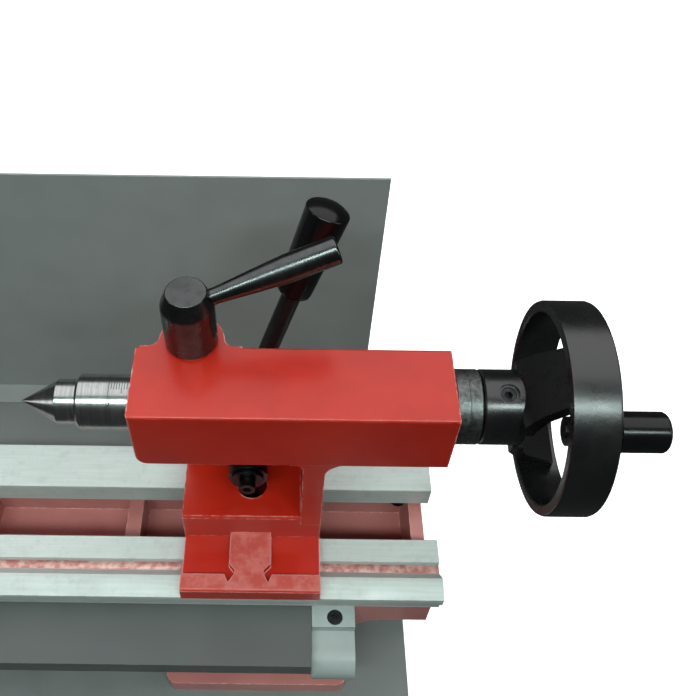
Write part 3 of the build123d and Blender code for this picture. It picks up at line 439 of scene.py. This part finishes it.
def numeral(value, x):
    """A figure in front of its long mark, bent round the quill."""
    curve = bpy.data.curves.new("figure", "FONT")
    curve.body = str(value)
    curve.size = 3.0 * MM
    curve.align_x = "CENTER"
    curve.extrude = 0.03 * MM
    holder = bpy.data.objects.new("figure", curve)
    bpy.context.scene.collection.objects.link(holder)
    bpy.context.view_layer.update()
    flat = bpy.data.meshes.new_from_object(holder)
    bpy.data.objects.remove(holder)
    figure = bmesh.new()
    figure.from_mesh(flat)
    bmesh.ops.remove_doubles(figure, verts=figure.verts, dist=1e-7)
    for vert in figure.verts:
        bent = FIGURE_START + (FIGURE_TOP * MM - vert.co.y) / (QUILL_R * MM)
        away = QUILL_R * MM + vert.co.z
        vert.co = Vector((x * MM + vert.co.x, -away * math.sin(bent), AXIS_Z * MM + away * math.cos(bent)))
    finished("quill_figure_%02d" % value, figure, "quill", slot="bright_steel", material=MARK_INK)


for count in range(0, LAST_MARK + 1, 10):
    numeral(count, ZERO_MARK_X + count)

# ---------------------------------------------------------------- paint in the front way's groove
groove = bmesh.new()
bmesh.ops.create_cube(groove, size=1.0)
bmesh.ops.scale(groove, vec=Vector(GROOVE_SIZE) * MM, verts=groove.verts)
bmesh.ops.translate(groove, vec=Vector(GROOVE_MIDDLE) * MM, verts=groove.verts)
finished("groove_paint", groove, "bed", slot="red_enamel", material=DUSTY_ENAMEL)

# ---------------------------------------------------------------- floor and light
def stage_piece(name, shape, colour, glow):
    """A floor or a surround in a plain paint that also gives off light."""
    mesh = bpy.data.meshes.new(name)
    shape.to_mesh(mesh)
    shape.free()
    piece = bpy.data.objects.new(name, mesh)
    bpy.context.scene.collection.objects.link(piece)
    paint = bpy.data.materials.new(name + "_paint")
    paint.use_nodes = True
    shader = paint.node_tree.nodes["Principled BSDF"]
    shader.inputs["Base Color"].default_value = colour
    shader.inputs["Roughness"].default_value = 0.9
    shader.inputs["Emission Color"].default_value = (1, 1, 1, 1)
    shader.inputs["Emission Strength"].default_value = glow
    mesh.materials.append(paint)
    return piece


floor_shape = bmesh.new()
bmesh.ops.create_grid(floor_shape, x_segments=1, y_segments=1, size=6.0)
floor = stage_piece("floor", floor_shape, (0.9, 0.9, 0.9, 1), 0.85)
floor.location = (0, 0, -0.0005)
wall_shape = bmesh.new()
bmesh.ops.create_uvsphere(wall_shape, u_segments=48, v_segments=24, radius=9.0)
surround = stage_piece("surround", wall_shape, (0, 0, 0, 1), 1.0)
for thing in (floor, surround):
    thing.visible_glossy = False
    thing.visible_diffuse = False
surround.visible_shadow = False


def soft_light(name, place, target, size, power, colour=(1, 1, 1)):
    """A rectangle of light, turned towards its target."""
    data = bpy.data.lights.new(name, "AREA")
    data.shape = "RECTANGLE"
    data.size, data.size_y = size
    data.energy = power
    data.color = colour
    lamp = bpy.data.objects.new(name, data)
    lamp.location = place
    lamp.rotation_mode = "QUATERNION"
    lamp.rotation_quaternion = (Vector(target) - Vector(place)).to_track_quat("-Z", "Y")
    bpy.context.scene.collection.objects.link(lamp)


soft_light("key", (0.0, -0.78, 1.35), (0.02, 0, 0.12), (1.8, 0.16), 18.0, (0.82, 1.0, 0.95))
soft_light("overhead", (0.0, 0.55, 1.6), (0.02, 0, 0.12), (3.0, 1.8), 22.0)
soft_light("left_strip", (-1.1, -0.2, 0.6), (0, 0, 0.14), (0.12, 0.9), 1.0)
soft_light("right_strip", (1.2, -0.3, 0.7), (0, 0, 0.14), (0.12, 0.9), 2.0)

world = bpy.data.worlds.new("studio")
bpy.context.scene.world = world
world.use_nodes = True
world.node_tree.nodes["Background"].inputs["Color"].default_value = (1, 1, 1, 1)
world.node_tree.nodes["Background"].inputs["Strength"].default_value = 0.05
bpy.context.scene.view_settings.view_transform = "Standard"
